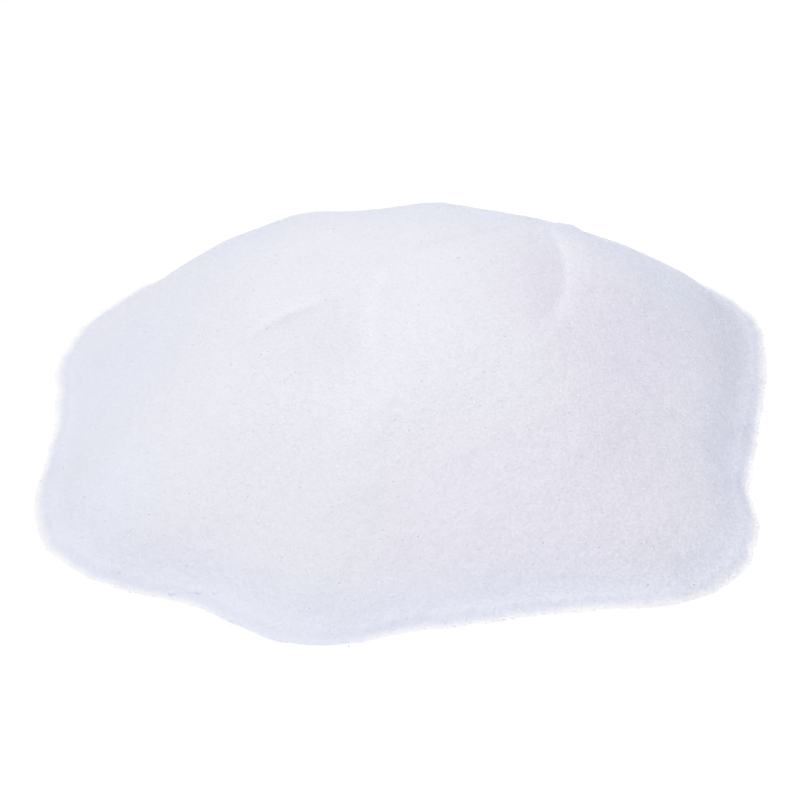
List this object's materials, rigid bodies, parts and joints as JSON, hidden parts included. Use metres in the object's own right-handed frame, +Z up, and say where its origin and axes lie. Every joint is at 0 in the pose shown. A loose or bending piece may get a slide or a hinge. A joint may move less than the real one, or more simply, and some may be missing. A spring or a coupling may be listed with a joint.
{
  "type": "heap of sea salt",
  "caption": "Loose, low heap of fine white sea salt with a lobed foot, soft slips and creases on its flanks, and a thin rim of grains.",
  "frame": {"origin": "centre of the heap's bounding box, on the surface it lies on", "axes": "+Z up, +X to the right seen from the front, +Y from front to back, the heap's longest extent"},
  "size_m": [0.2076, 0.2206, 0.0492],
  "materials": {
    "salt": "matte white crystals with a faint cool tint and fine sparkle"
  },
  "bodies": {
    "root": {"salt_heap": "salt"}
  },
  "joints": []
}
